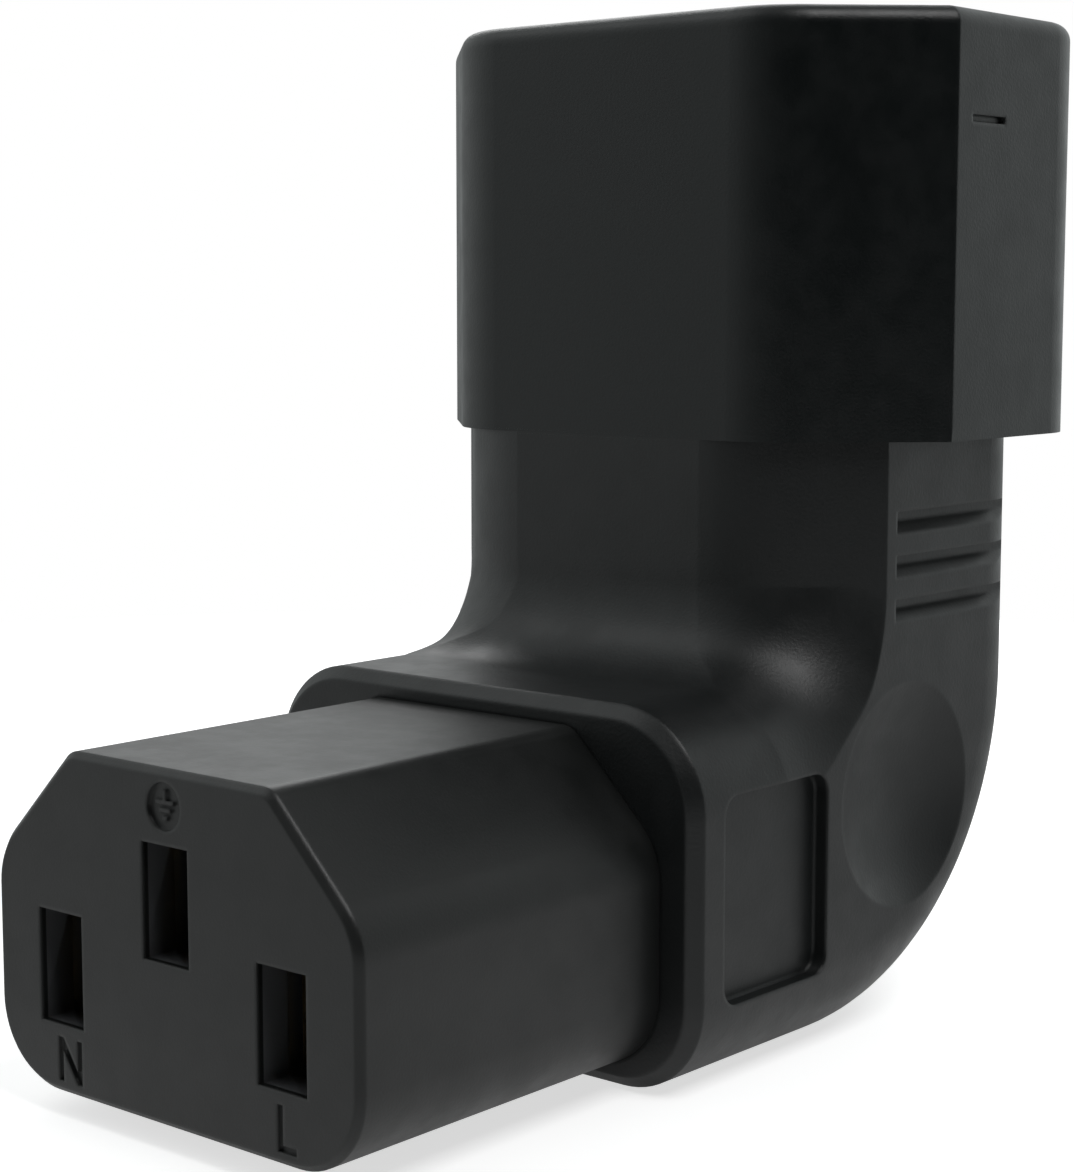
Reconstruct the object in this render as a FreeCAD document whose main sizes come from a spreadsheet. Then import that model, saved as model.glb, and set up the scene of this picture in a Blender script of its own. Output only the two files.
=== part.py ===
import FreeCAD, Part
import math
import os
import re
import Sketcher
from FreeCAD import Placement, Rotation, Vector

# Right-angle appliance power adapter: a female three-pole connector nose and a male three-pole
# shrouded plug, joined through ninety degrees by one moulded body.
# The origin is on the face of the nose, midway between the line and neutral poles. X runs across
# the poles, Y from the face of the nose back to the heel, and Z up along the plug.

# Driving dimensions in millimetres
SIZES = {
    # Poles, the same in both connectors
    "pole_pitch": 14.0,
    "earth_offset": 4.0,
    # Nose of the female connector
    "nose_width": 22.9,
    "nose_height": 15.5,
    "row_above_base": 5.7,
    "nose_flat": 12.6,
    "nose_chamfer_drop": 5.1,
    "nose_base_radius": 3.8,
    "nose_top_radius": 1.2,
    "nose_shoulder_radius": 3.5,
    "nose_front_chamfer": 0.3,
    "nose_length": 19.0,
    "nose_root": 5.0,
    "slot_width": 2.9,
    "slot_height": 5.1,
    "face_wall": 1.8,
    "chamber_width": 4.4,
    "chamber_height": 6.2,
    "retainer_thickness": 1.8,
    # Spring contacts
    "contact_clearance": 0.1,
    "contact_width": 5.0,
    "leaf_thickness": 0.5,
    "leaf_straight": 8.0,
    "throat_gap": 1.5,
    "throat_depth": 4.2,
    "mouth_gap": 2.8,
    "mouth_depth": 1.2,
    # Moulded body
    "body_width": 27.0,
    "collar_wall_top": 1.2,
    "collar_wall_base": 1.05,
    "collar_front_chamfer": 0.6,
    "arm_edge_radius": 4.8,
    "base_edge_radius": 4.5,
    "bend_radius": 4.4,
    "neck_chamfer": 4.9,
    "neck_soft_radius": 8.0,
    "heel_radius": 17.0,
    "neck_back_step": 1.0,
    "soft_lead": 0.05,
    "cut_over": 1.0,
    # Recessed label panel
    "panel_inset": 2.15,
    "panel_length": 8.15,
    "panel_height": 9.7,
    "panel_drop": 2.65,
    "panel_depth": 0.8,
    "panel_radius": 1.0,
    # Grip grooves on the neck
    "groove_inset": 5.8,
    "groove_drop": 4.0,
    "groove_pitch": 2.15,
    "groove_width": 1.1,
    "groove_floor": 0.5,
    "groove_depth": 0.6,
    # Finger scoops at the heel
    "scoop_back": 17.1,
    "scoop_rise": 4.9,
    "scoop_radius": 5.6,
    "scoop_depth": 1.3,
    # Shroud of the male plug
    "plug_axis": 39.1,
    "plug_base": 22.4,
    "plug_width": 32.0,
    "plug_depth": 20.0,
    "plug_height": 20.5,
    "plug_chamfer": 6.5,
    "plug_soft_radius": 5.0,
    "plug_back_radius": 4.0,
    "rim_radius": 0.9,
    "mating_clearance": 0.6,
    "cavity_depth": 16.5,
    "cavity_lead": 0.4,
    "foot_width": 21.0,
    "foot_depth": 11.5,
    "foot_height": 3.5,
    "foot_radius": 1.5,
    # Mould mark on the right side of the shroud
    "mark_length": 3.0,
    "mark_height": 0.35,
    "mark_depth": 0.25,
    "mark_drop": 5.2,
    "mark_forward": 0.65,
    # Pins
    "pin_thickness": 2.0,
    "pin_width": 4.0,
    "pin_reach": 13.5,
    "earth_pin_lead": 1.5,
    "pin_tip_chamfer": 0.7,
    "shoulder_width": 5.6,
    "shoulder_height": 1.5,
    # Stamped links, welded between the tails of the contacts and the pins, and their sleeves
    "tail_thickness": 0.8,
    "tail_width": 3.0,
    "tail_length": 4.0,
    "link_bend": 4.0,
    "sleeve_wall": 0.5,
}

# Sizes worked out from the driving dimensions
DERIVED = {
    "nose_top": "nose_height - row_above_base",
    "nose_slope": "atan(2 * nose_chamfer_drop / (nose_width - nose_flat))",
    "root_end": "nose_length + nose_root",
    "pocket_end": "root_end + retainer_thickness",
    "contact_tail_end": "pocket_end + tail_length",
    "arm_top": "nose_top + collar_wall_top",
    "arm_base": "-(row_above_base + collar_wall_base)",
    "plug_front": "plug_axis - plug_depth / 2",
    "plug_back": "plug_axis + plug_depth / 2",
    "plug_row": "plug_axis + nose_height / 2 - row_above_base",
    "plug_rim": "plug_base + plug_height",
    "plug_floor": "plug_rim - cavity_depth",
    "foot_base": "plug_base - foot_height",
    "shoulder_top": "foot_base + shoulder_height",
    "pin_tail_end": "foot_base - tail_length",
    "neck_back": "plug_back - neck_back_step",
    "bend_y": "plug_front - bend_radius",
    "bend_z": "arm_top + bend_radius",
    "scoop_ball": "(scoop_radius ^ 2 + scoop_depth ^ 2) / (2 * scoop_depth)",
}

# Poles: how far each lies across, and up from the row towards the earth side
POLES = {
    "line": ("pole_pitch / 2", "0"),
    "neutral": ("-pole_pitch / 2", "0"),
    "earth": ("0", "earth_offset"),
}

# The chamfer of the neck, and how it turns into the rounded edge of the arm round the bend: degrees
# turned, slope in degrees, and shares of the neck's chamfer and of its soft radius
NECK_SLOPE = 45
BEND_CORNER = ((0, NECK_SLOPE, 1.0, 1.0), (15, 50, 1.02, 1.06), (34, 62, 1.04, 1.06),
               (60, 78, 1.03, 0.75), (78, 86, 1.0, 0.62), (90, 87, 0.95, 0.5875))

GROOVE_COUNT = 3
SIDES = (1, -1)
WORD = re.compile(r"[a-z][a-z_]+")
TOLERANCE = 1e-4

doc = FreeCAD.newDocument("PowerAdapter")
sheet = doc.addObject("Spreadsheet::Sheet", "Sizes")
for row, (alias, number) in enumerate(SIZES.items(), start=1):
    sheet.set(f"A{row}", alias)
    sheet.set(f"B{row}", str(number))
    sheet.setAlias(f"B{row}", alias)
doc.recompute()


# Expressions and sketches

def expression(text):
    """Point each word that names a size at its cell of the sheet."""
    def resolve(match):
        word = match.group()
        if word in DERIVED:
            return f"({expression(DERIVED[word])})"
        return f"Sizes.{word}" if word in SIZES else word
    return WORD.sub(resolve, text)


def value(text):
    """The number that an expression gives now, in millimetres."""
    return float(sheet.evalExpression(expression(text)))


def new_body(label):
    """A body that holds one sub-part, modelled where it sits in the adapter."""
    body = doc.addObject("PartDesign::Body", label)
    body.Label = label
    body.Placement = Placement()
    return body


def sketch_on(body, role, name, x="0", y="0", z="0", turn=0):
    """A sketch on an origin plane, shifted along the plane's own axes and turned about X."""
    plane = next(item for item in body.Origin.OriginFeatures if item.Role == role)
    sketch = body.newObject("Sketcher::SketchObject", name)
    sketch.AttachmentSupport = [(plane, "")]
    sketch.MapMode = "FlatFace"
    sketch.AttachmentOffset = Placement(Vector(), Rotation(Vector(1, 0, 0), turn))
    for axis, text in (("x", x), ("y", y), ("z", z)):
        sketch.setExpression(f"AttachmentOffset.Base.{axis}", expression(text))
    return sketch


def across(body, name, y):
    """A sketch square to Y at a depth behind the face; its own axes are X and Z."""
    return sketch_on(body, "XZ_Plane", name, z=f"-({y})")


def constrain(sketch, constraint, text):
    """Add a dimension that follows the sheet."""
    index = sketch.addConstraint(constraint)
    sketch.setExpression(f"Constraints[{index}]", expression(text))


def pin_point(sketch, geometry, point, x, y):
    """Hold a point of a sketch at two dimensions from its origin."""
    place = sketch.getPoint(geometry, point)
    constrain(sketch, Sketcher.Constraint("DistanceX", -1, 1, geometry, point, place.x), x)
    constrain(sketch, Sketcher.Constraint("DistanceY", -1, 1, geometry, point, place.y), y)


def outline(sketch, corners, closed=True):
    """Straight edges through corners (x, y) or (x, y, radius), with tangent arcs at the radii."""
    count = len(corners)
    places = [Vector(value(corner[0]), value(corner[1]), 0) for corner in corners]
    trims = []
    for index, corner in enumerate(corners):
        here = places[index]
        to_last = (places[index - 1] - here).normalize()
        to_next = (places[(index + 1) % count] - here).normalize()
        half = to_last.getAngle(to_next) / 2
        radius = value(corner[2]) if len(corner) > 2 else 0
        reach = radius / math.tan(half)
        apex = here + (to_last + to_next).normalize() * (radius / math.sin(half) - radius)
        trims.append((here + to_last * reach, apex, here + to_next * reach))
    spans = range(count if closed else count - 1)
    ends = [(trims[i][2], trims[(i + 1) % count][0]) for i in spans]
    if not closed:
        ends[0] = (places[0], ends[0][1])
        ends[-1] = (ends[-1][0], places[-1])
    lines = [sketch.addGeometry(Part.LineSegment(*pair), False) for pair in ends]
    for index, corner in enumerate(corners):
        first_or_last = index in (0, count - 1) and not closed
        if first_or_last:
            line, point = (lines[0], 1) if index == 0 else (lines[-1], 2)
            pin_point(sketch, line, point, corner[0], corner[1])
            continue
        before, after = lines[index - 1], lines[index % len(lines)]
        if len(corner) == 2:
            sketch.addConstraint(Sketcher.Constraint("Coincident", before, 2, after, 1))
            pin_point(sketch, after, 1, corner[0], corner[1])
            continue
        arc = sketch.addGeometry(Part.Arc(*trims[index]), False)
        starts_first = sketch.getPoint(arc, 1).distanceToPoint(trims[index][0]) < TOLERANCE
        enter, leave = (1, 2) if starts_first else (2, 1)
        mark = sketch.addGeometry(Part.Point(places[index]), True)
        sketch.addConstraint([
            Sketcher.Constraint("Tangent", before, 2, arc, enter),
            Sketcher.Constraint("Tangent", after, 1, arc, leave),
            Sketcher.Constraint("PointOnObject", mark, 1, before),
            Sketcher.Constraint("PointOnObject", mark, 1, after),
        ])
        constrain(sketch, Sketcher.Constraint("Radius", arc, value(corner[2])), corner[2])
        pin_point(sketch, mark, 1, corner[0], corner[1])


def rectangle(sketch, x, y, width, height, *radius):
    """An upright rectangle about a centre."""
    left, right = f"{x} - {width} / 2", f"{x} + {width} / 2"
    low, high = f"{y} - {height} / 2", f"{y} + {height} / 2"
    outline(sketch, [(left, low, *radius), (right, low, *radius),
                     (right, high, *radius), (left, high, *radius)])


# Features

def settle(body, feature):
    """Recompute, and make the feature the end of its body."""
    doc.recompute()
    body.Tip = feature
    return feature


def extrude(body, kind, sketch, length, reverse=False, side="One side"):
    """A pad or a pocket of a sketch."""
    feature = body.newObject(f"PartDesign::{kind}", f"{sketch.Name}_{kind.lower()}")
    feature.Profile = sketch
    feature.SideType = side
    feature.Reversed = reverse
    feature.setExpression("Length", expression(length))
    return settle(body, feature)


def cut(body, sketch, length, reverse=False, side="One side"):
    """A pocket that has to take material away."""
    before = body.Shape.Volume
    feature = extrude(body, "Pocket", sketch, length, reverse, side)
    if feature.Shape.Volume > before - TOLERANCE:
        raise RuntimeError(f"{sketch.Name} cuts nothing")
    return feature


def dress(body, kind, size_name, radius, test):
    """A fillet or a chamfer on the edges of the body's tip whose box passes a test."""
    base = body.Tip
    names = [f"Edge{index}" for index, edge in enumerate(base.Shape.Edges, start=1)
             if test(edge.BoundBox)]
    feature = body.newObject(f"PartDesign::{kind}", f"{body.Name}_{kind.lower()}")
    feature.Base = (base, names)
    feature.setExpression(size_name, expression(radius))
    return settle(body, feature)


def near(first, second):
    """True where two lengths are the same."""
    return abs(first - second) < TOLERANCE


def nose_corners(grow="0"):
    """The outline of the nose, grown by a margin: X across, and up from the row of poles."""
    half_flat = f"nose_flat / 2 + {grow} * tan(nose_slope / 2)"
    half_width = f"nose_width / 2 + {grow}"
    top = f"nose_top + {grow}"
    shoulder = f"nose_top - nose_chamfer_drop + {grow} * tan((90 deg - nose_slope) / 2)"
    base = f"-(row_above_base + {grow})"
    foot = f"nose_base_radius + {grow}"
    right = [
        (half_width, base, foot),
        (half_width, shoulder, f"nose_shoulder_radius + {grow}"),
        (half_flat, top, f"nose_top_radius + {grow}"),
    ]
    left = [(f"-({x})", z, radius) for x, z, radius in reversed(right)]
    return right + left


def pole_in_plug(height):
    """Where a pole at a height above the row of the nose stands in the plug."""
    return f"plug_row - ({height})"


def link_sketch(body, name, pole, start, end, grow="0"):
    """The L of a link, grown by a margin: back from the nose, then up under its pin."""
    x, height = POLES[pole]
    half = f"(tail_width / 2 + {grow})"
    under_pin = pole_in_plug(height)
    low, high = f"{height} - {half}", f"{height} + {half}"
    front, back = f"{under_pin} - {half}", f"{under_pin} + {half}"
    sketch = sketch_on(body, "YZ_Plane", f"{pole}_{name}", z=x)
    outline(sketch, [
        (start, low),
        (back, low, f"link_bend + tail_width + {grow}"),
        (back, end),
        (front, end),
        (front, high, f"link_bend - {grow}"),
        (start, high),
    ])
    return sketch


# Moulded body

def side_profile(body):
    """The L seen from the side: collar, arm, concave bend, neck and round heel."""
    sketch = sketch_on(body, "YZ_Plane", "side_profile")
    outline(sketch, [
        ("nose_length", "arm_base"),
        ("neck_back", "arm_base", "heel_radius"),
        ("neck_back", "plug_base"),
        ("plug_front", "plug_base"),
        ("plug_front", "arm_top", "bend_radius"),
        ("nose_length", "arm_top"),
    ])
    extrude(body, "Pad", sketch, "body_width", side="Symmetric")


def round_long_edges(body):
    """Round the long edges of the L: wide on top of the arm and up the neck, less wide underneath."""
    half_width, front, top = value("body_width / 2"), value("plug_front"), value("arm_top")

    def along_side(box):
        flat = near(box.XLength, 0) and near(abs(box.XMin), half_width)
        collar_edge = near(box.YMax, value("nose_length"))
        neck_edge = near(box.ZMin, value("plug_base"))
        return flat and not collar_edge and not neck_edge

    def inside(box):
        return box.YMax < front + TOLERANCE and box.ZMin > top - TOLERANCE

    dress(body, "Fillet", "Radius", "arm_edge_radius", lambda box: along_side(box) and inside(box))
    dress(body, "Fillet", "Radius", "base_edge_radius", lambda box: along_side(box) and not inside(box))


def neck_corner(side, slope, depth, radius):
    """What a chamfer with a soft inner edge takes off, out from the axis of the bend."""
    half = "body_width / 2"
    corner_x = f"{half} - {depth} / tan({slope} deg)"
    lead_x = f"{corner_x} - {radius}"
    corners = [
        (lead_x, "bend_radius - soft_lead"),
        (corner_x, "bend_radius", radius),
        (f"{half} + cut_over * cos({slope} deg)", f"bend_radius + {depth} + cut_over * sin({slope} deg)"),
        (f"{half} + cut_over", "bend_radius - cut_over"),
        (lead_x, "bend_radius - cut_over"),
    ]
    return [(f"{side} * ({corner[0]})", *corner[1:]) for corner in corners]


def chamfer_neck(body):
    """Chamfers on the front corners of the neck, which turn into the arm's rounding round the bend."""
    straight = sketch_on(body, "XY_Plane", "neck_corners", y="bend_y", z="plug_base")
    for side in SIDES:
        outline(straight, neck_corner(side, NECK_SLOPE, "neck_chamfer", "neck_soft_radius"))
    cut(body, straight, "plug_base - bend_z")
    for side in SIDES:
        hand = "right" if side > 0 else "left"
        sections = []
        for turn, slope, depth, radius in BEND_CORNER:
            section = sketch_on(body, "XY_Plane", f"bend_{hand}_{turn}", y="bend_y", z="bend_z", turn=-turn)
            corner = neck_corner(side, slope, f"{depth} * neck_chamfer", f"{radius} * neck_soft_radius")
            outline(section, corner)
            sections.append(section)
        loft = body.newObject("PartDesign::SubtractiveLoft", f"bend_{hand}")
        loft.Profile = sections[0]
        loft.Sections = sections[1:]
        settle(body, loft)


def chamfer_collar(body):
    """Chamfer the edge round the front of the collar."""
    front = value("nose_length")
    dress(body, "Chamfer", "Size", "collar_front_chamfer",
          lambda box: near(box.YLength, 0) and near(box.YMin, front))


def recess_panel(body):
    """The label panel on the right side, left bare."""
    sketch = sketch_on(body, "YZ_Plane", "panel", z="body_width / 2 + cut_over")
    rectangle(sketch, "nose_length + panel_inset + panel_length / 2", "panel_height / 2 - panel_drop",
              "panel_length", "panel_height", "panel_radius")
    cut(body, sketch, "panel_depth + cut_over")


def cut_grooves(body):
    """Three grip grooves on each side of the neck, steep above and sloped below."""
    sketch = across(body, "grip_grooves", "plug_front + groove_inset")
    floor, mouth = "body_width / 2 - groove_depth", "body_width / 2 + cut_over"
    for side in SIDES:
        for index in range(GROOVE_COUNT):
            high = f"plug_base - groove_drop - {index} * groove_pitch + groove_width / 2"
            slope = "(groove_width - groove_floor) * (groove_depth + cut_over) / groove_depth"
            corners = [(floor, high), (mouth, high),
                       (mouth, f"{high} - groove_floor - {slope}"),
                       (floor, f"{high} - groove_floor")]
            outline(sketch, [(f"{side} * ({x})", z) for x, z in corners])
    cut(body, sketch, "neck_back - plug_front")


def press_scoops(body):
    """A round finger scoop on each side of the heel."""
    for side in SIDES:
        ball = body.newObject("PartDesign::SubtractiveSphere", "finger_scoop")
        ball.setExpression("Radius", expression("scoop_ball"))
        centre = {
            "x": f"{side} * (body_width / 2 - scoop_depth + scoop_ball)",
            "y": "nose_length + scoop_back",
            "z": "scoop_rise",
        }
        for axis, text in centre.items():
            ball.setExpression(f"Placement.Base.{axis}", expression(text))
        settle(body, ball)


def hollow_body(body):
    """Seats for the nose, its retainer and the foot of the plug, and a channel for each link."""
    nose_seat = across(body, "nose_seat", "nose_length")
    outline(nose_seat, nose_corners())
    cut(body, nose_seat, "pocket_end - nose_length")
    foot_seat = sketch_on(body, "XY_Plane", "foot_seat", z="plug_base")
    rectangle(foot_seat, "0", "plug_axis", "foot_width", "foot_depth", "foot_radius")
    cut(body, foot_seat, "foot_height")
    for pole in POLES:
        channel = link_sketch(body, "channel", pole, "pocket_end - cut_over", "foot_base + cut_over",
                              "sleeve_wall")
        cut(body, channel, "tail_thickness + 2 * sleeve_wall", side="Symmetric")


def moulded_body():
    body = new_body("moulded_body")
    side_profile(body)
    round_long_edges(body)
    chamfer_neck(body)
    chamfer_collar(body)
    recess_panel(body)
    cut_grooves(body)
    press_scoops(body)
    hollow_body(body)
    return body


# Female connector

def connector_nose():
    body = new_body("connector_nose")
    blank = across(body, "nose_outline", "0")
    outline(blank, nose_corners())
    extrude(body, "Pad", blank, "root_end", reverse=True)
    dress(body, "Chamfer", "Size", "nose_front_chamfer",
          lambda box: near(box.YLength, 0) and near(box.YMin, 0))
    slots = across(body, "entry_slots", "0")
    for x, height in POLES.values():
        rectangle(slots, x, height, "slot_width", "slot_height")
    cut(body, slots, "face_wall")
    chambers = across(body, "contact_chambers", "face_wall")
    for x, height in POLES.values():
        rectangle(chambers, x, height, "chamber_width", "chamber_height")
    cut(body, chambers, "root_end - face_wall")
    return body


def contact_retainer():
    body = new_body("contact_retainer")
    plate = across(body, "retainer_outline", "root_end")
    outline(plate, nose_corners())
    for x, height in POLES.values():
        rectangle(plate, x, height, "tail_thickness", "tail_width")
    extrude(body, "Pad", plate, "retainer_thickness", reverse=True)
    return body


def spring_contact(pole):
    """A folded spring: two leaves that close to a throat and flare to a mouth, and a tail."""
    x, height = POLES[pole]
    body = new_body(f"{pole}_contact")
    spring = sketch_on(body, "XY_Plane", f"{pole}_spring", x=x, z=height)
    outer = "chamber_width / 2 - contact_clearance"
    inner = f"{outer} - leaf_thickness"
    mouth = "face_wall + mouth_depth"
    throat = "face_wall + throat_depth"
    knee = "root_end - leaf_straight"
    right = [
        (outer, "root_end"),
        (outer, knee),
        ("throat_gap / 2 + leaf_thickness", throat),
        ("mouth_gap / 2 + leaf_thickness", mouth),
        ("mouth_gap / 2", mouth),
        ("throat_gap / 2", throat),
        (inner, knee),
        (inner, "root_end - leaf_thickness"),
    ]
    left = [(f"-({across_x})", y) for across_x, y in reversed(right)]
    outline(spring, right + left)
    extrude(body, "Pad", spring, "contact_width", side="Symmetric")
    tail = across(body, f"{pole}_contact_tail", "root_end")
    rectangle(tail, x, height, "tail_thickness", "tail_width")
    extrude(body, "Pad", tail, "contact_tail_end - root_end", reverse=True)
    return body


# Male plug

def plug_shroud():
    body = new_body("plug_shroud")
    shell = sketch_on(body, "XY_Plane", "shroud_outline", z="plug_base")
    right = [
        ("plug_width / 2", "plug_back", "plug_back_radius"),
        ("plug_width / 2", "plug_front + plug_chamfer"),
        ("plug_width / 2 - plug_chamfer", "plug_front", "plug_soft_radius"),
    ]
    left = [(f"-({corner[0]})", *corner[1:]) for corner in reversed(right)]
    outline(shell, right + left)
    extrude(body, "Pad", shell, "plug_height")
    rim = value("plug_rim")
    dress(body, "Fillet", "Radius", "rim_radius",
          lambda box: near(box.ZLength, 0) and near(box.ZMin, rim))
    cavity = sketch_on(body, "XY_Plane", "plug_cavity", z="plug_rim")
    outline(cavity, [(x, pole_in_plug(height), radius)
                     for x, height, radius in nose_corners("mating_clearance")])
    cut(body, cavity, "cavity_depth")
    half_cavity = value("nose_width / 2 + mating_clearance")
    dress(body, "Chamfer", "Size", "cavity_lead",
          lambda box: near(box.ZLength, 0) and near(box.ZMin, rim)
          and max(abs(box.XMin), abs(box.XMax)) < half_cavity + TOLERANCE)
    foot = sketch_on(body, "XY_Plane", "plug_foot", z="plug_base")
    rectangle(foot, "0", "plug_axis", "foot_width", "foot_depth", "foot_radius")
    extrude(body, "Pad", foot, "foot_height", reverse=True)
    blades = sketch_on(body, "XY_Plane", "blade_slots", z="plug_floor")
    shoulders = sketch_on(body, "XY_Plane", "shoulder_seats", z="foot_base")
    for x, height in POLES.values():
        rectangle(blades, x, pole_in_plug(height), "pin_thickness", "pin_width")
        rectangle(shoulders, x, pole_in_plug(height), "pin_thickness", "shoulder_width")
    cut(body, blades, "plug_floor - foot_base")
    cut(body, shoulders, "shoulder_height", reverse=True)
    mark = sketch_on(body, "YZ_Plane", "mould_mark", z="plug_width / 2")
    rectangle(mark, "plug_axis - mark_forward", "plug_rim - mark_drop", "mark_length", "mark_height")
    cut(body, mark, "mark_depth")
    return body


def blade_pin(pole):
    """A flat blade on a shoulder, with a tail for the link below it."""
    x, height = POLES[pole]
    y = pole_in_plug(height)
    body = new_body(f"{pole}_pin")
    shoulder = sketch_on(body, "XY_Plane", f"{pole}_shoulder", z="foot_base")
    rectangle(shoulder, x, y, "pin_thickness", "shoulder_width")
    extrude(body, "Pad", shoulder, "shoulder_height")
    blade = sketch_on(body, "XY_Plane", f"{pole}_blade", z="shoulder_top")
    rectangle(blade, x, y, "pin_thickness", "pin_width")
    lead = " + earth_pin_lead" if pole == "earth" else ""
    tip = f"plug_floor + pin_reach{lead}"
    extrude(body, "Pad", blade, f"{tip} - shoulder_top")
    dress(body, "Chamfer", "Size", "pin_tip_chamfer",
          lambda box: near(box.ZLength, 0) and near(box.ZMin, value(tip)))
    tail = sketch_on(body, "XY_Plane", f"{pole}_pin_tail", z="foot_base")
    rectangle(tail, x, y, "tail_thickness", "tail_width")
    extrude(body, "Pad", tail, "tail_length", reverse=True)
    return body


# Links

def conductor(pole):
    """A flat copper link, butt welded to the tails of its contact and its pin."""
    body = new_body(f"{pole}_conductor")
    link = link_sketch(body, "link", pole, "contact_tail_end", "pin_tail_end")
    extrude(body, "Pad", link, "tail_thickness", side="Symmetric")
    return body


def insulation(pole):
    """A sleeve over a link and both of its welds."""
    body = new_body(f"{pole}_insulation")
    sleeve = link_sketch(body, "sleeve", pole, "pocket_end", "foot_base", "sleeve_wall")
    extrude(body, "Pad", sleeve, "tail_thickness + 2 * sleeve_wall", side="Symmetric")
    bore = link_sketch(body, "sleeve_bore", pole, "pocket_end - cut_over", "foot_base + cut_over")
    cut(body, bore, "tail_thickness", side="Symmetric")
    return body


parts = [moulded_body(), connector_nose(), contact_retainer(), plug_shroud()]
for pole_part in (blade_pin, spring_contact, conductor, insulation):
    parts += [pole_part(pole) for pole in POLES]
doc.recompute()

for item in doc.Objects:
    if "Invalid" in item.State or "Error" in item.State:
        raise RuntimeError(f"{item.Label} failed to build: {item.State}")
for part in parts:
    if part.Shape.isNull() or not part.Shape.isValid() or len(part.Shape.Solids) != 1:
        raise RuntimeError(f"{part.Label} is not one valid solid")

os.makedirs("parts", exist_ok=True)
for part in parts:
    part.Shape.exportStep(f"parts/{part.Label}.step")
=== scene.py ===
import math

import bmesh
import bpy
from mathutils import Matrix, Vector


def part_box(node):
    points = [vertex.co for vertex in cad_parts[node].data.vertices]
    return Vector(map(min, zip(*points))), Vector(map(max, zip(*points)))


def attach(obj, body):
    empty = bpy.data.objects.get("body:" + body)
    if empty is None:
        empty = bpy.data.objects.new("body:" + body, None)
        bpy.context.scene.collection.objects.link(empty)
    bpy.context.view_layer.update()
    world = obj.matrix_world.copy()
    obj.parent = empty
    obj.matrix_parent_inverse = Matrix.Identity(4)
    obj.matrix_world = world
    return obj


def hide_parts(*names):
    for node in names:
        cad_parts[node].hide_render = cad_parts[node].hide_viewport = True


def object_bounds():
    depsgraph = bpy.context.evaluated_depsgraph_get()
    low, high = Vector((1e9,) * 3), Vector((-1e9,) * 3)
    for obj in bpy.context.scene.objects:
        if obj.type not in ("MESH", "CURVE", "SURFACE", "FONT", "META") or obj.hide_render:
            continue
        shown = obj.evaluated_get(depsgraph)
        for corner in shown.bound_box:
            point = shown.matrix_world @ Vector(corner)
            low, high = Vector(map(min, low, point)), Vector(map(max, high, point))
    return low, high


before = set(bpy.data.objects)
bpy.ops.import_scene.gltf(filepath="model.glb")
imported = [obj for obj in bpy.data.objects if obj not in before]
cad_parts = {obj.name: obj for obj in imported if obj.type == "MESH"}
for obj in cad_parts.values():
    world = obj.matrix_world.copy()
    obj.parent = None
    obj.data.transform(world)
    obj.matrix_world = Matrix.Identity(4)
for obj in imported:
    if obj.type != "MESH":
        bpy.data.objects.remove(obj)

CAD_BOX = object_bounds()
MIDDLE = (CAD_BOX[0] + CAD_BOX[1]) / 2
FOOT = Vector((MIDDLE.x, MIDDLE.y, CAD_BOX[0].z))
MM = 0.001
SEAM_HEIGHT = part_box("moulded_body")[1].z
POLES = ("line", "neutral", "earth")
WHITE = (1.0, 1.0, 1.0, 1.0)

# Camera: where the photograph was taken from, in metres and degrees, and its lens
CAMERA_PLACE = (0.07736, -0.065917, 0.029545)
CAMERA_YAW = 40.744
CAMERA_PITCH = 6.853
FOCAL_PIXELS = 2453.5
PHOTO_LONG_SIDE = 1172
SENSOR_LONG_SIDE = 36.0
CLIP_START = 0.01

# Studio: wide soft glows, each with the way to its middle and its strength, none behind the camera
STUDIO_GLOWS = (
    ((-0.65, -0.75, 0.15), 0.33),
    ((-1.0, 0.05, 0.25), 0.42),
    ((0.0, 1.0, 0.25), 0.92),
    ((-0.6, -0.2, 0.75), 0.38),
    ((0.65, 0.75, -0.1), 0.10),
)
GLOW_POWER = 3.0
STUDIO_COLOUR = (0.95, 1.0, 0.995, 1.0)
PAPER_STRENGTH = 1.0
# Lamps: place and width in metres, and power in watts
LAMPS = {
    "over_front": ((-0.18, -0.14, 0.38), 0.22, 0.11),
    "over_right": ((0.25, 0.0, 0.42), 0.22, 0.89),
    "back_left": ((-0.30, 0.33, 0.32), 0.26, 0.41),
}
FLOOR_RADIUS = 0.16
FLOOR_SIDES = 96
FLOOR_GAP = 0.02 * MM
FLOOR_COLOUR = (0.78, 0.78, 0.78, 1.0)
# White that the floor adds to the eye: the distances between which it changes, and its strength at each
FLOOR_EYE_FADE = (0.04, 0.13)
FLOOR_EYE_WHITE = (0.66, 1.0)
# The same in reflections
FLOOR_GLOSS_FADE = (0.02, 0.045)
FLOOR_GLOSS_WHITE = (0.30, 0.0)

# Contact chambers behind the face of the nose, where light is painted on the inside: front, and half
# widths and spans in height
CHAMBER_FRONT = 0.35 * MM
CHAMBERS = ((9.4 * MM, -3.3 * MM, 3.3 * MM), (2.4 * MM, 0.7 * MM, 7.3 * MM))

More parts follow.
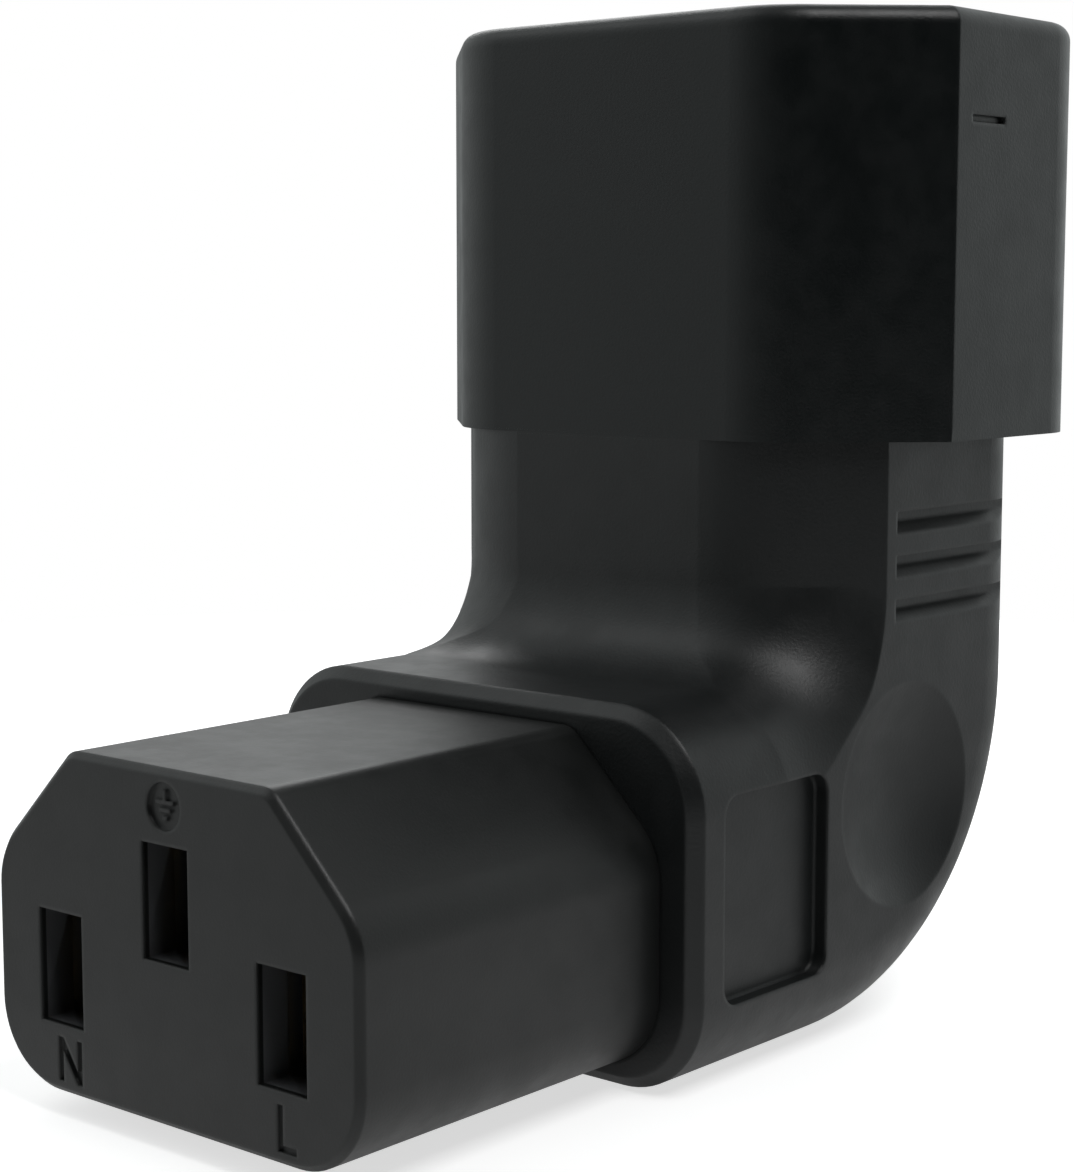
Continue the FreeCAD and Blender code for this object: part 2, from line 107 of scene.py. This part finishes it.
# Marks moulded into the face of the nose
MARK_DEPTH = 0.2 * MM
MARKED_LAYER = 2 * MARK_DEPTH
MARK_STROKE = 0.32 * MM
MARK_HEIGHT = 2.0 * MM
MARK_TOP = -3.1 * MM
NEUTRAL_MARK = (-7.3 * MM, 1.6 * MM)
NEUTRAL_SLANT = 1.9 * MARK_STROKE
LINE_MARK = (6.7 * MM, 1.1 * MM)
EARTH_DISC = (0.0, 8.2 * MM, 1.05 * MM)
EARTH_DISC_SIDES = 48
EARTH_STEM = 0.55 * MM
EARTH_BARS = (1.1 * MM, 0.7 * MM, 0.3 * MM)
EARTH_BAR_PITCH = 0.34 * MM
EARTH_STROKE = 0.16 * MM
EARTH_SUNK = 0.06 * MM
CUT_OVER = 0.5 * MM
WELD = 0.001 * MM
SHARP_ANGLE = math.radians(28)

# Plastic: patches of mottle and flow, edges that are soft away from the seam, and rubbed edges
MOTTLE_SIZE = 9 * MM
MOTTLE_DETAIL = 3.0
MOTTLE_SHARE = 0.7
FLOW_SIZE = 2.2 * MM
FLOW_DETAIL = 4.0
FLOW_ROUGHNESS = 0.6
FLOW_GLOSS_RANGE = (0.3, 0.7)
FLOW_GLOSS_SWING = 0.04
SEAM_EASE = (0.1 * MM, 0.8 * MM)
BEVEL_SAMPLES = 4
EDGE_COSINES = (0.998, 0.93)
RUB_FLOW_RANGE = (0.35, 0.65)
RUB_AMOUNT = (0.2, 1.0)
RUB_SHARE = 0.3
RUB_POLISH = 0.08
GRAIN_STRENGTH = 0.35

# Metal: fine lines along the strip, and a film of tarnish
LINES_SIZE = 0.12 * MM
LINES_DETAIL = 3.0
LINES_DULL = 0.12
LINES_STRENGTH = 0.25
LINES_HEIGHT = 0.01 * MM
FILM_SIZE = 1.8 * MM
FILM_DETAIL = 4.0
FILM_ROUGHNESS = 0.6
FILM_COLOUR_RANGE = (0.35, 0.7)
FILM_GLOSS_RANGE = (0.3, 0.7)
FILM_DULL = 0.1
ALONG_Y = (1.0, 0.06, 1.0)
ALONG_Z = (1.0, 1.0, 0.06)

# Sockets of a Mix node that take and give colours
MIX_COLOURS_IN = (6, 7)
MIX_COLOUR_OUT = 2


# Node trees

def fill(tree, socket, given):
    """A socket linked to another one, or set to a value."""
    if isinstance(given, bpy.types.NodeSocket):
        tree.links.new(given, socket)
    else:
        socket.default_value = given


def empty_tree(owner):
    """The node tree of a material or a world, emptied."""
    owner.use_nodes = True
    owner.node_tree.nodes.clear()
    return owner.node_tree


def add_node(tree, kind, settings=None, **inputs):
    """A new node, its settings made and its inputs set or linked by name."""
    node = tree.nodes.new(kind)
    for name, setting in (settings or {}).items():
        setattr(node, name, setting)
    for name, given in inputs.items():
        fill(tree, node.inputs[name.replace("_", " ")], given)
    return node


def calculate(tree, operation, *values, kind="ShaderNodeMath"):
    """The number that a Math node gives."""
    node = add_node(tree, kind, {"operation": operation})
    for socket, given in zip(node.inputs, values):
        fill(tree, socket, given)
    return node.outputs["Value"]


def measure(tree, operation, first, second):
    """The number that a Vector Math node gives for two vectors."""
    return calculate(tree, operation, first, second, kind="ShaderNodeVectorMath")


def spread(tree, value, source, result):
    """A value eased from one range to another."""
    node = add_node(
        tree, "ShaderNodeMapRange", {"interpolation_type": "SMOOTHSTEP"},
        Value=value, From_Min=source[0], From_Max=source[1], To_Min=result[0], To_Max=result[1])
    return node.outputs["Result"]


def blend_colours(tree, share, *colours):
    """Two colours mixed by a share, each a socket or red, green and blue."""
    node = add_node(tree, "ShaderNodeMix", {"data_type": "RGBA"}, Factor=share)
    for index, colour in zip(MIX_COLOURS_IN, colours):
        linked = isinstance(colour, bpy.types.NodeSocket)
        fill(tree, node.inputs[index], colour if linked else (*colour, 1.0))
    return node.outputs[MIX_COLOUR_OUT]


def noise(tree, place, size, detail=2.0, roughness=0.5):
    """Noise with cells of a size in metres, as a value from 0 to 1."""
    node = add_node(
        tree, "ShaderNodeTexNoise", None,
        Vector=place, Scale=1 / size, Detail=detail, Roughness=roughness)
    return node.outputs["Fac"]


def start_material(name):
    """A new material, its empty tree and its object coordinates."""
    material = bpy.data.materials.new(name)
    tree = empty_tree(material)
    place = add_node(tree, "ShaderNodeTexCoord").outputs["Object"]
    return material, tree, place


def end_material(tree, **inputs):
    """The Principled shader with its inputs set or linked, and the material's output."""
    shader = add_node(tree, "ShaderNodeBsdfPrincipled", None, **inputs)
    add_node(tree, "ShaderNodeOutputMaterial", None, Surface=shader.outputs["BSDF"])


# Materials

def chamber_light_mask(tree, place):
    """Where light is painted: one inside the contact chambers, nought on the outside of the nose."""
    parts = add_node(tree, "ShaderNodeSeparateXYZ", None, Vector=place)
    x, y, z = (parts.outputs[axis] for axis in "XYZ")
    mask = 0.0
    for half_width, low, high in CHAMBERS:
        within = calculate(tree, "LESS_THAN", calculate(tree, "ABSOLUTE", x), half_width)
        within = calculate(tree, "MULTIPLY", within, calculate(tree, "GREATER_THAN", z, low))
        within = calculate(tree, "MULTIPLY", within, calculate(tree, "LESS_THAN", z, high))
        mask = calculate(tree, "MAXIMUM", within, mask)
    return calculate(tree, "MULTIPLY", mask, calculate(tree, "GREATER_THAN", y, CHAMBER_FRONT))


def moulded_plastic(name, dark, light, roughness, grain_size, grain_height, edge_radius,
                    chamber_light_tones=None):
    """Plastic as moulded: fine grain, uneven gloss, and soft edges except at the seam of the plug, with
    a paler grey painted inside the contact chambers as light when tones for it are given.
    """
    material, tree, place = start_material(name)
    mottle = noise(tree, place, MOTTLE_SIZE, MOTTLE_DETAIL)
    flow = noise(tree, place, FLOW_SIZE, FLOW_DETAIL, FLOW_ROUGHNESS)
    grain = noise(tree, place, grain_size)
    height = add_node(tree, "ShaderNodeSeparateXYZ", None, Vector=place).outputs["Z"]
    off_seam = calculate(tree, "ABSOLUTE", calculate(tree, "SUBTRACT", height, SEAM_HEIGHT))
    radius = spread(tree, off_seam, SEAM_EASE, (0.0, edge_radius))
    bevel = add_node(tree, "ShaderNodeBevel", {"samples": BEVEL_SAMPLES}, Radius=radius)
    soft_normal = bevel.outputs["Normal"]
    true_normal = add_node(tree, "ShaderNodeNewGeometry").outputs["Normal"]
    match = measure(tree, "DOT_PRODUCT", soft_normal, true_normal)
    edge = spread(tree, match, EDGE_COSINES, (0.0, 1.0))
    rubbed = calculate(tree, "MULTIPLY", edge, spread(tree, flow, RUB_FLOW_RANGE, RUB_AMOUNT))
    tone = calculate(tree, "ADD", calculate(tree, "MULTIPLY", mottle, MOTTLE_SHARE),
                     calculate(tree, "MULTIPLY", rubbed, RUB_SHARE))
    colour = blend_colours(tree, tone, dark, light)
    # Painted light: a paler grey inside the contact chambers stands in for the light that reaches them
    if chamber_light_tones:
        painted_chamber_light = blend_colours(tree, tone, *chamber_light_tones)
        colour = blend_colours(tree, chamber_light_mask(tree, place), colour, painted_chamber_light)
    gloss = spread(tree, flow, FLOW_GLOSS_RANGE,
                   (roughness - FLOW_GLOSS_SWING, roughness + FLOW_GLOSS_SWING))
    gloss = calculate(tree, "SUBTRACT", gloss, calculate(tree, "MULTIPLY", rubbed, RUB_POLISH))
    bump = add_node(tree, "ShaderNodeBump", None, Strength=GRAIN_STRENGTH, Distance=grain_height,
                    Height=grain, Normal=soft_normal)
    end_material(tree, Base_Color=colour, Roughness=gloss, Normal=bump.outputs["Normal"])
    return material


def drawn_metal(name, dark, light, roughness, stretch):
    """Rolled strip: fine lines along the strip, a patchy film of tarnish."""
    material, tree, place = start_material(name)
    lines_place = add_node(tree, "ShaderNodeMapping", None, Vector=place, Scale=stretch)
    lines = noise(tree, lines_place.outputs["Vector"], LINES_SIZE, LINES_DETAIL)
    film = noise(tree, place, FILM_SIZE, FILM_DETAIL, FILM_ROUGHNESS)
    colour = blend_colours(tree, spread(tree, film, FILM_COLOUR_RANGE, (0.0, 1.0)), light, dark)
    gloss = spread(tree, film, FILM_GLOSS_RANGE, (roughness, roughness + FILM_DULL))
    gloss = calculate(tree, "ADD", gloss, calculate(tree, "MULTIPLY", lines, LINES_DULL))
    bump = add_node(tree, "ShaderNodeBump", None, Strength=LINES_STRENGTH, Distance=LINES_HEIGHT,
                    Height=lines)
    end_material(tree, Metallic=1.0, Base_Color=colour, Roughness=gloss, Normal=bump.outputs["Normal"])
    return material


PLASTICS = {
    "body_plastic": dict(
        dark=(0.0060, 0.0072, 0.0074), light=(0.0092, 0.0106, 0.0108), roughness=0.44,
        grain_size=0.16 * MM, grain_height=0.03 * MM, edge_radius=0.28 * MM),
    "nose_plastic": dict(
        dark=(0.0072, 0.0080, 0.0078), light=(0.0104, 0.0114, 0.0112), roughness=0.42,
        grain_size=0.13 * MM, grain_height=0.02 * MM, edge_radius=0.26 * MM,
        # Painted light inside the contact chambers, not a second plastic
        chamber_light_tones=((0.078, 0.080, 0.084), (0.098, 0.101, 0.106))),
    "shroud_plastic": dict(
        dark=(0.0016, 0.0032, 0.0034), light=(0.0034, 0.0054, 0.0056), roughness=0.38,
        grain_size=0.14 * MM, grain_height=0.025 * MM, edge_radius=0.30 * MM),
}
SLEEVE_FINISH = dict(roughness=0.46, grain_size=0.16 * MM, grain_height=0.02 * MM, edge_radius=0.16 * MM)
SLEEVE_COLOURS = {
    "line": dict(dark=(0.060, 0.026, 0.012), light=(0.095, 0.042, 0.020)),
    "neutral": dict(dark=(0.010, 0.050, 0.190), light=(0.018, 0.085, 0.280)),
    "earth": dict(dark=(0.050, 0.170, 0.020), light=(0.120, 0.260, 0.030)),
}
for pole in POLES:
    PLASTICS[f"{pole}_sleeve"] = SLEEVE_COLOURS[pole] | SLEEVE_FINISH

METALS = {
    "pin_metal": dict(
        dark=(0.52, 0.49, 0.44), light=(0.68, 0.66, 0.62), roughness=0.24, stretch=ALONG_Z),
    "contact_metal": dict(
        dark=(0.50, 0.33, 0.13), light=(0.72, 0.53, 0.24), roughness=0.28, stretch=ALONG_Y),
    "copper": dict(
        dark=(0.42, 0.17, 0.09), light=(0.74, 0.36, 0.22), roughness=0.30, stretch=ALONG_Y),
}

MATERIALS = {name: moulded_plastic(name, **settings) for name, settings in PLASTICS.items()}
MATERIALS |= {name: drawn_metal(name, **settings) for name, settings in METALS.items()}

NODE_SLOTS = {
    "moulded_body": "body_plastic",
    "connector_nose": "nose_plastic",
    "contact_retainer": "nose_plastic",
    "plug_shroud": "shroud_plastic",
}
for pole in POLES:
    NODE_SLOTS[f"{pole}_pin"] = "pin_metal"
    NODE_SLOTS[f"{pole}_contact"] = "contact_metal"
    NODE_SLOTS[f"{pole}_conductor"] = "copper"
    NODE_SLOTS[f"{pole}_insulation"] = f"{pole}_sleeve"


def finish_mesh(mesh, slot):
    """One slot's material on the whole mesh."""
    mesh.materials.clear()
    mesh.materials.append(MATERIALS[slot])


for node_name, slot_name in NODE_SLOTS.items():
    finish_mesh(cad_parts[node_name].data, slot_name)


# The nose with its pole marks cut in

def prism(name, outlines, front, back):
    """Outlines in x and z, each carried from one y to another, as one closed mesh."""
    shape = bmesh.new()
    for outline in outlines:
        rings = [[shape.verts.new((x, y, z)) for x, z in outline] for y in (front, back)]
        shape.faces.new(rings[0])
        shape.faces.new(reversed(rings[1]))
        for index in range(len(outline)):
            after = (index + 1) % len(outline)
            shape.faces.new((rings[0][after], rings[0][index], rings[1][index], rings[1][after]))
    bmesh.ops.recalc_face_normals(shape, faces=shape.faces)
    mesh = bpy.data.meshes.new(name)
    shape.to_mesh(mesh)
    shape.free()
    piece = bpy.data.objects.new(name, mesh)
    bpy.context.scene.collection.objects.link(piece)
    return piece


def letter_n(left, width):
    """Outline of the neutral mark."""
    right, foot, stroke = left + width, MARK_TOP - MARK_HEIGHT, MARK_STROKE
    return [
        (left, foot), (left + stroke, foot), (left + stroke, MARK_TOP - NEUTRAL_SLANT),
        (right - stroke, foot), (right, foot), (right, MARK_TOP), (right - stroke, MARK_TOP),
        (right - stroke, foot + NEUTRAL_SLANT), (left + stroke, MARK_TOP), (left, MARK_TOP)]


def letter_l(left, width):
    """Outline of the line mark."""
    right, foot, stroke = left + width, MARK_TOP - MARK_HEIGHT, MARK_STROKE
    return [(left, foot), (right, foot), (right, foot + stroke), (left + stroke, foot + stroke),
            (left + stroke, MARK_TOP), (left, MARK_TOP)]


def disc(x, z, radius):
    """Outline of the earth mark's sunk disc."""
    turns = [2 * math.pi * step / EARTH_DISC_SIDES for step in range(EARTH_DISC_SIDES)]
    return [(x + radius * math.cos(turn), z + radius * math.sin(turn)) for turn in turns]


def bar(x, z, width, height):
    """Outline of an upright rectangle about its middle."""
    return [(x - width / 2, z - height / 2), (x + width / 2, z - height / 2),
            (x + width / 2, z + height / 2), (x - width / 2, z + height / 2)]


def earth_sign(x, z):
    """Outlines of the stem on its long bar and the two shorter bars, which stand in the disc."""
    half, wide = EARTH_STROKE / 2, EARTH_BARS[0] / 2
    top_bar = z + EARTH_BAR_PITCH / 2
    tip = top_bar + EARTH_STEM
    stem = [(x - wide, top_bar - half), (x + wide, top_bar - half), (x + wide, top_bar + half),
            (x + half, top_bar + half), (x + half, tip), (x - half, tip),
            (x - half, top_bar + half), (x - wide, top_bar + half)]
    bars = [bar(x, top_bar - step * EARTH_BAR_PITCH, width, EARTH_STROKE)
            for step, width in enumerate(EARTH_BARS) if step]
    return [stem, *bars]


def combine(piece, tool, operation):
    """A boolean made and kept, and its tool removed."""
    modifier = piece.modifiers.new(operation.lower(), "BOOLEAN")
    modifier.operation = operation
    modifier.solver = "EXACT"
    modifier.object = tool
    scene_state = bpy.context.evaluated_depsgraph_get()
    mesh = bpy.data.meshes.new_from_object(piece.evaluated_get(scene_state))
    piece.modifiers.clear()
    piece.data = mesh
    bpy.data.objects.remove(tool)


def weld(source, target):
    """A mesh kept in another as triangles, doubled points joined and faces without area dissolved."""
    shape = bmesh.new()
    shape.from_mesh(source)
    bmesh.ops.remove_doubles(shape, verts=shape.verts, dist=WELD)
    bmesh.ops.triangulate(shape, faces=shape.faces)
    bmesh.ops.dissolve_degenerate(shape, edges=shape.edges, dist=WELD)
    shape.to_mesh(target)
    shape.free()


def marked_nose():
    """The nose solid with neutral, line and earth marks sunk in its face."""
    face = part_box("connector_nose")[0].y
    mesh = bpy.data.meshes.new("marked_nose")
    weld(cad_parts["connector_nose"].data, mesh)
    nose = bpy.data.objects.new("marked_nose", mesh)
    bpy.context.scene.collection.objects.link(nose)
    letters = [letter_n(*NEUTRAL_MARK), letter_l(*LINE_MARK), disc(*EARTH_DISC)]
    combine(nose, prism("mark_cutter", letters, face - CUT_OVER, face + MARK_DEPTH), "DIFFERENCE")
    sign = earth_sign(*EARTH_DISC[:2])
    combine(nose, prism("earth_sign", sign, face + EARTH_SUNK, face + MARKED_LAYER), "UNION")
    weld(nose.data, nose.data)
    finish_mesh(nose.data, "nose_plastic")
    nose.data.set_sharp_from_angle(angle=SHARP_ANGLE)
    for polygon in nose.data.polygons:
        polygon.use_smooth = polygon.center.y > face + MARKED_LAYER
    flats = nose.modifiers.new("flats_stay_flat", "WEIGHTED_NORMAL")
    flats.keep_sharp = True
    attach(nose, "root")
    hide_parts("connector_nose")


marked_nose()


# Studio

def make_world():
    """Soft glows round the object, and white paper to the eye."""
    world = bpy.data.worlds.new("studio")
    bpy.context.scene.world = world
    tree = empty_tree(world)
    way = add_node(tree, "ShaderNodeTexCoord").outputs["Generated"]
    room = 0.0
    for middle, strength in STUDIO_GLOWS:
        toward = measure(tree, "DOT_PRODUCT", way, Vector(middle).normalized())
        glow = calculate(tree, "POWER", calculate(tree, "MAXIMUM", toward, 0.0), GLOW_POWER)
        room = calculate(tree, "ADD", calculate(tree, "MULTIPLY", glow, strength), room)
    light = add_node(tree, "ShaderNodeBackground", None, Color=STUDIO_COLOUR, Strength=room)
    paper = add_node(tree, "ShaderNodeBackground", None, Color=WHITE, Strength=PAPER_STRENGTH)
    eye = add_node(tree, "ShaderNodeLightPath").outputs["Is Camera Ray"]
    mix = add_node(tree, "ShaderNodeMixShader", None, Fac=eye)
    tree.links.new(light.outputs["Background"], mix.inputs[1])
    tree.links.new(paper.outputs["Background"], mix.inputs[2])
    add_node(tree, "ShaderNodeOutputWorld", None, Surface=mix.outputs["Shader"])


def floor_material():
    """Pale and matt, with white added to the eye and in reflections by the distance from the object."""
    material = bpy.data.materials.new("floor")
    tree = empty_tree(material)
    place = add_node(tree, "ShaderNodeNewGeometry").outputs["Position"]
    away = measure(tree, "DISTANCE", place, FOOT)
    eye = spread(tree, away, FLOOR_EYE_FADE, FLOOR_EYE_WHITE)
    gloss = spread(tree, away, FLOOR_GLOSS_FADE, FLOOR_GLOSS_WHITE)
    rays = add_node(tree, "ShaderNodeLightPath")
    glow = calculate(tree, "ADD", calculate(tree, "MULTIPLY", eye, rays.outputs["Is Camera Ray"]),
                     calculate(tree, "MULTIPLY", gloss, rays.outputs["Is Glossy Ray"]))
    matt = add_node(tree, "ShaderNodeBsdfDiffuse", None, Color=FLOOR_COLOUR)
    white = add_node(tree, "ShaderNodeEmission", None, Color=WHITE, Strength=glow)
    both = add_node(tree, "ShaderNodeAddShader")
    tree.links.new(matt.outputs["BSDF"], both.inputs[0])
    tree.links.new(white.outputs["Emission"], both.inputs[1])
    add_node(tree, "ShaderNodeOutputMaterial", None, Surface=both.outputs["Shader"])
    return material


def make_floor():
    """A pale floor that keeps the shadow near the object and turns white further out."""
    bpy.ops.mesh.primitive_circle_add(
        vertices=FLOOR_SIDES, radius=FLOOR_RADIUS, fill_type="NGON",
        location=(FOOT.x, FOOT.y, FOOT.z - FLOOR_GAP))
    floor = bpy.context.object
    floor.name = "floor"
    floor.data.materials.append(floor_material())


def soft_lamp(name, place, size, power):
    """A square lamp that faces the middle of the object."""
    data = bpy.data.lights.new(name, "AREA")
    data.size = size
    data.energy = power
    lamp = bpy.data.objects.new(name, data)
    lamp.location = place
    lamp.rotation_euler = (MIDDLE - Vector(place)).to_track_quat("-Z", "Y").to_euler()
    bpy.context.scene.collection.objects.link(lamp)


def make_camera():
    """The photograph's own view."""
    data = bpy.data.cameras.new("camera")
    data.sensor_width = SENSOR_LONG_SIDE
    data.lens = FOCAL_PIXELS / PHOTO_LONG_SIDE * SENSOR_LONG_SIDE
    data.clip_start = CLIP_START
    camera = bpy.data.objects.new("camera", data)
    camera.location = CAMERA_PLACE
    camera.rotation_euler = (math.radians(90 - CAMERA_PITCH), 0.0, math.radians(CAMERA_YAW))
    bpy.context.scene.collection.objects.link(camera)
    bpy.context.scene.camera = camera


make_world()
make_floor()
for lamp_name, lamp_settings in LAMPS.items():
    soft_lamp(lamp_name, *lamp_settings)
make_camera()
bpy.context.scene.view_settings.view_transform = "Standard"
